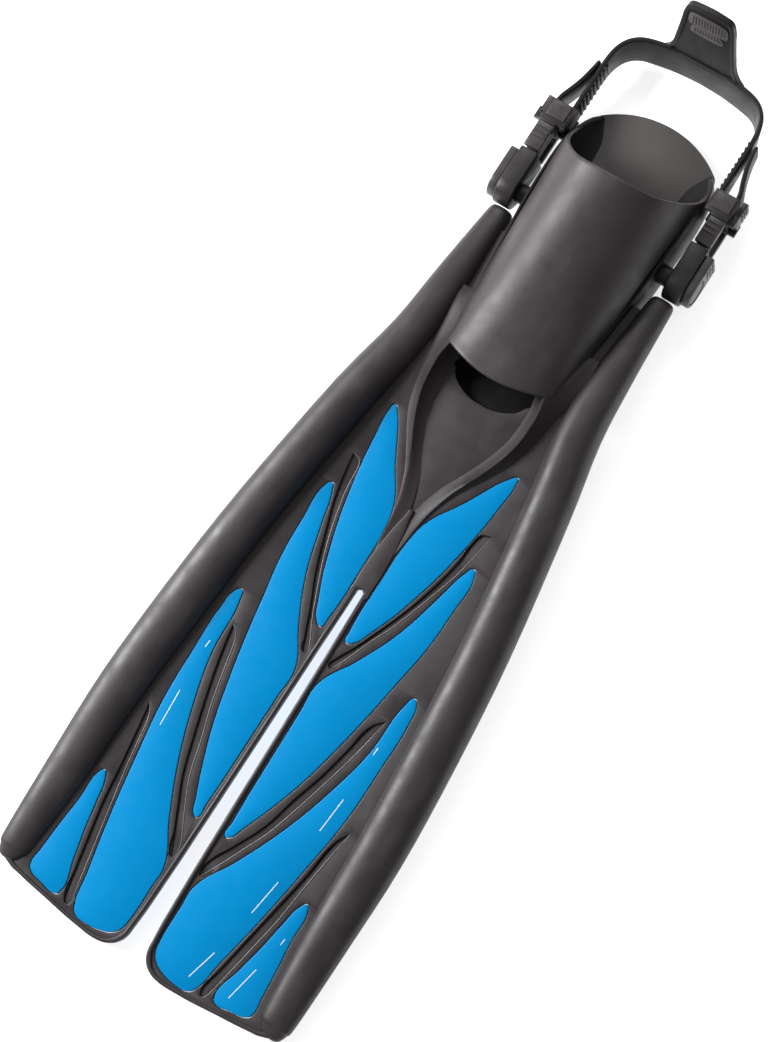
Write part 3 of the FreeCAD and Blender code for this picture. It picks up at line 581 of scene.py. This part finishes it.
def footPocket():
    arch, lip = catmull(pocket["stations"], 6), catmull(pocket["lip"], 6)

    def archPoint(along, angle):
        wide, low, high, square = rowAt(arch, along)[1:]
        return Vector((wide * squared(math.cos(angle), 2 / square), along,
                       low + (high - low) * abs(math.sin(angle)) ** (2 / square)))

    turns = [math.pi * number / 110 for number in range(111)]
    starts, ends = [], []
    for turn in turns:
        starts.append(pocket["front"] + 7.6 * min(1.35, (archPoint(pocket["front"], turn).x / 35) ** 2))
        end = 240
        for step in range(30):
            end += 0.5 * (rowAt(lip, archPoint(end, turn).z)[1] - end)
        ends.append(end)
    rings = []
    for step in range(57):
        share = step / 56
        rings.append([archPoint(start + (end - start) * share, turn)
                      for turn, start, end in zip(turns, starts, ends)])
    bm = lofted(rings, closed=False)
    middle = min(bm.faces, key=lambda face: (face.calc_center_median() - Vector((0, 0.15, 0.06))).length)
    if middle.normal.z < 0:
        bmesh.ops.reverse_faces(bm, faces=bm.faces)
    piece = finished("footPocket", meshOf(bm, "footPocket"), rubberPocket, "fin", ["foot_pocket"],
                     60)
    wall = piece.modifiers.new("wall", "SOLIDIFY")
    wall.thickness = pocket["wall"] * mm
    wall.offset = -1
    edge = piece.modifiers.new("roundLip", "BEVEL")
    edge.width = 1.3 * mm
    edge.segments = 3
    edge.limit_method = "ANGLE"
    edge.angle_limit = math.radians(50)
    fillets = []
    for side in sides.values():
        rings = []
        for along, foot, top, wall in catmull(pocket["fillet"], 5):
            reach, rise = wall - foot, top - 8
            section = [(foot, 7.9)] + [(foot + reach * share, 8 + rise * share ** 2.4)
                                       for share in (0.2, 0.4, 0.58, 0.74, 0.88, 1)]
            section += [(wall + 1.5, top), (wall + 1.5, 6.5), (foot, 6.5)]
            rings.append([(side * x, along, z) for x, z in section])
        fillets.append(lofted(rings))
    # the lining takes the darkened rubber as painted shade inside the pocket
    finished("pocketLining", joined(fillets, "pocketLining"), rubberPaintedShadeLining, "fin")


footPocket()
print("foot pocket made")


# sole

finished("solePlate", meshOf(softened("sole_plate", 0.9), "solePlate"), rubberSole, "fin",
         ["sole_plate"])
print("sole made")


# heel strap: one ribbon from tail to tail, with teeth and a pull tab

strap = {
    # side, distance along, low and high edge, half thickness and lean, from the tail's tip to the heel
    "ribbon": [(60.9, 310, 12.5, 25.5, 0.5, 0), (61.1, 309, 10.4, 27.6, 1.2, 0),
               (61.7, 302, 9.4, 28.6, 1.5, 0), (63.6, 292.5, 9.4, 28.6, 1.6, 0),
               (66.4, 283.4, 9.4, 28.6, 1.75, 0), (69, 276.5, 9.4, 28.6, 1.75, 0),
               (70.1, 270, 9.4, 28.6, 1.75, 0), (70.15, 265, 9.4, 28.6, 1.75, 0),
               (69.27, 261.7, 9.4, 28.6, 1.75, 0), (66.9, 259.3, 9.4, 28.6, 1.75, 0),
               (63.6, 258.45, 9.4, 28.6, 1.75, 0), (60.3, 259.3, 9.4, 28.6, 1.75, 0),
               (57.93, 261.7, 9.4, 28.6, 1.75, 0), (57.05, 265, 9.4, 28.6, 1.75, 0),
               (57.05, 274, 9.4, 28.6, 1.75, 0), (57.05, 288, 9.4, 28.6, 1.75, 0),
               (57.05, 302, 9.4, 28.6, 1.75, 0.3), (57, 313, 8.6, 28.8, 1.75, 1.2),
               (55.4, 322.8, 6.6, 29.1, 1.75, 2.4), (51.2, 330.6, 4.8, 29.4, 1.75, 3.4),
               (44.2, 336, 3.6, 29.5, 1.75, 4), (34.2, 339, 3.1, 29.5, 1.75, 4.4),
               (18, 341.6, 3, 29.5, 1.75, 4.6), (0, 342.5, 3, 29.5, 1.75, 4.6)],
    "inner": 55.3, "teethStart": 276, "teethStep": 4.2, "teethCount": 9, "toothTall": 15,
    "tabFoot": (340.3, 26.0), "tabLean": 13,
    "tabSide": [(31, -1, 0), (27.6, 3), (24.4, 10), (22, 24), (20, 40), (18.3, 53), (15.8, 58.7), (10.6, 60.5)],
    "tabInner": [(24.5, 3.4, 0), (22.6, 7), (20.6, 13), (18.8, 25), (16.9, 40), (15.4, 52), (13.4, 56),
                 (9.6, 57.4)],
}
tabPlace = Matrix.Translation(Vector((0, strap["tabFoot"][0], strap["tabFoot"][1])) * mm) \
    @ Matrix.Rotation(math.radians(-strap["tabLean"]), 4, "X") @ Matrix.Rotation(math.radians(90), 4, "X")


def mirroredRing(points):
    return points + [(-point[0], *point[1:]) for point in points[::-1]]


def heelStrap():
    half = catmull(strap["ribbon"], 4)
    path = half + [(-row[0], *row[1:]) for row in half[-2::-1]]
    rings = []
    for number, (x, y, low, high, thick, lean) in enumerate(path):
        before, after = path[max(number - 1, 0)], path[min(number + 1, len(path) - 1)]
        across = Vector((after[1] - before[1], before[0] - after[0], 0)).normalized()
        soft = min(1.15, thick * 0.9)
        ring = []
        for angle in angles(24):
            sideways = math.copysign(thick - soft, math.cos(angle)) + soft * math.cos(angle)
            upwards = math.copysign((high - low) / 2 - soft, math.sin(angle)) + soft * math.sin(angle)
            sideways -= lean * (0.5 - upwards / (high - low))
            ring.append(Vector((x, y, (low + high) / 2 + upwards)) + across * sideways)
        rings.append(ring)
    parts = [lofted(rings)]
    for side in sides.values():
        for tooth in range(strap["teethCount"]):
            along = strap["teethStart"] + tooth * strap["teethStep"]
            parts.append(bar((side * (strap["inner"] - 0.2), along, 19), (1.6, 2, strap["toothTall"]), 0.45))
    outer, inner = mirroredRing(strap["tabSide"]), mirroredRing(strap["tabInner"])
    parts.append(flatLayer([outer], -3.5, 0, 0.9, place=tabPlace))
    parts.append(flatLayer([outer, inner], -1.2, 1.1, 0.5, place=tabPlace))
    finished("heelStrap", joined(parts, "heelStrap"), rubberStrap, "strap", ["heel_strap"])


def gripBars():
    parts = []
    for half, low, tall in ((14.2, 41.5, 10), (11.8, 33.5, 5.6)):
        corner = [(-half, low), (-half + 1, low - 0.6), (half - 1, low - 0.6), (half, low),
                  (half, low + tall - 1), (half - 1, low + tall), (-half + 1, low + tall),
                  (-half, low + tall - 1)]
        parts.append(flatLayer([corner], -0.4, 1.0, 0.3, place=tabPlace, resolution=4))
        columns = int(half * 2 / 2.2)
        for column in range(columns):
            x = (column - (columns - 1) / 2) * 2.1
            stud = bar((0, 0, 0), (1.0, tall - 2, 0.7), 0.22)
            bmesh.ops.translate(stud, verts=stud.verts, vec=Vector((x, low + tall / 2 - 0.3, 1.1)) * mm)
            bmesh.ops.transform(stud, matrix=tabPlace, verts=stud.verts)
            parts.append(stud)
    finished("gripBars", joined(parts, "gripBars"), rubberGrip, "strap", ["tab_grip_bars"])


heelStrap()
gripBars()
print("heel strap made")


# buckles

buckle = {"pivot": (206, 19), "coverOuter": 79.0, "framePad": (63.8, 264.1, 13.6, 14.0, 11.6),
          "squeezeRibs": (242.4, 246.0, 249.6), "ribOuter": 32.5}


def hardware(word, side):
    simple = {
        "swivel_post": (0.5, rubberBlade, "fin", "buckle_plastic"),
        "post_cap": (1.0, nylonPale, "fin", "buckle_plastic"),
        "buckle_socket": (1.0, nylonBuckle, "buckle_" + word, "buckle_plastic"),
        "plug_frame": (0.8, nylonBuckle, "strap", "buckle_plastic"),
        "lever_pin": (0.3, pinSteel, "strap", "pin_steel"),
    }
    for node, (edge, material, body, slot) in simple.items():
        finished("%s_soft_%s" % (node, word), meshOf(softened(node + "_" + word, edge), node), material,
                 body, [node + "_" + word])
    # the pads are raised steps on the frame; their pale nylon on the dark frame is a painted highlight on its
    # top and bottom faces
    across, along, high, wide, deep = buckle["framePad"]
    highlightPads = [bar((side * across, along, buckle["pivot"][1] + up * high), (wide, deep, 1.5), 0.6)
            for up in (1, -1)]
    finished("framePadsPaintedHighlight_" + word, joined(highlightPads, "framePadsPaintedHighlight"), nylonPale, "strap")
    cover = [softened("socket_cover_" + word, 1.9, 3)]
    y, z = buckle["pivot"]
    for step in range(3):
        cover.append(bar((side * (buckle["coverOuter"] + 0.1), y + 13.5 + step * 3.2, z), (0.9, 1.4, 15), 0.4))
    finished("socketCover_" + word, joined(cover, "socketCover"), nylonPale, "buckle_" + word,
             ["socket_cover_" + word])
    lever = [softened("lock_lever_" + word, 0.7)]
    for step in range(3):
        lever.append(bar((side * 77.6, 264.8 + step * 2.8, z), (0.9, 1.2, 11), 0.4))
    finished("lockLever_" + word, joined(lever, "lockLever"), nylonPale, "lever_" + word,
             ["lock_lever_" + word])
    for level, up in (("upper", 1), ("lower", -1)):
        node = "squeeze_tab_%s_%s" % (level, word)
        tab = [softened(node, 0.9)]
        for along in buckle["squeezeRibs"]:
            tab.append(bar((side * 66.4, along, z + up * 13.6), (10.4, 1.5, 1.2), 0.5))
        finished("squeezeTab_%s_%s" % (level, word), joined(tab, "squeezeTab"), nylonPale,
                 "squeeze_%s_%s" % (level, word), [node])


for word, side in sides.items():
    hardware(word, side)
print("buckles made")


# floor, light, camera

def studio():
    bpy.ops.mesh.primitive_plane_add(size=9)
    floor = bpy.context.object
    floor.name = "studioFloor"
    floor.location.z = -0.0004
    pale = Finish("studioFloorPaint", Specular_IOR_Level=0.2, Roughness=0.75, Emission_Color=(1, 1, 1, 1),
                  Emission_Strength=0.75)
    pale.color(pale.ramp(pale.noise(2.5, 2), [(0.3, (0.90, 0.90, 0.90)), (0.7, (0.93, 0.93, 0.93))]))
    floor.data.materials.append(pale.material)
    world = bpy.data.worlds.new("studioWorld")
    bpy.context.scene.world = world
    world.use_nodes = True
    world.node_tree.nodes["Background"].inputs["Color"].default_value = (1, 1, 1, 1)
    world.node_tree.nodes["Background"].inputs["Strength"].default_value = 0.24
    target = Vector((0, 0.05, 0.02))
    lamps = {"keyLamp": ((-1.7, -0.25, 1.15), 0.8, 70), "fillLamp": ((1.2, 0.9, 2.0), 1.4, 1.8),
             "heelLamp": ((-0.7, 1.7, 1.2), 1.0, 12)}
    for name, (place, size, power) in lamps.items():
        light = bpy.data.lights.new(name, "AREA")
        light.size = size
        light.energy = power
        lamp = bpy.data.objects.new(name, light)
        lamp.location = place
        lamp.rotation_euler = (target - Vector(place)).to_track_quat("-Z", "Y").to_euler()
        bpy.context.scene.collection.objects.link(lamp)


def placeCamera():
    data = bpy.data.cameras.new("mainCamera")
    data.lens = 86.37
    data.sensor_width = 36
    data.clip_start = 0.05
    data.clip_end = 30
    camera = bpy.data.objects.new("mainCamera", data)
    right = Vector((0.82602, 0.53595, -0.17449))
    up = Vector((-0.50980, 0.84246, 0.17429))
    back = Vector((0.24041, -0.05502, 0.96911))
    turn = Matrix((right, up, back)).transposed().to_4x4()
    place = Matrix.Translation(Vector((379.51, -7.94, 1577.75)) * mm)
    camera.matrix_world = bladeTilt @ place @ turn
    bpy.context.scene.collection.objects.link(camera)
    bpy.context.scene.camera = camera


studio()
placeCamera()
bpy.context.scene.view_settings.view_transform = "Standard"
print("studio ready")
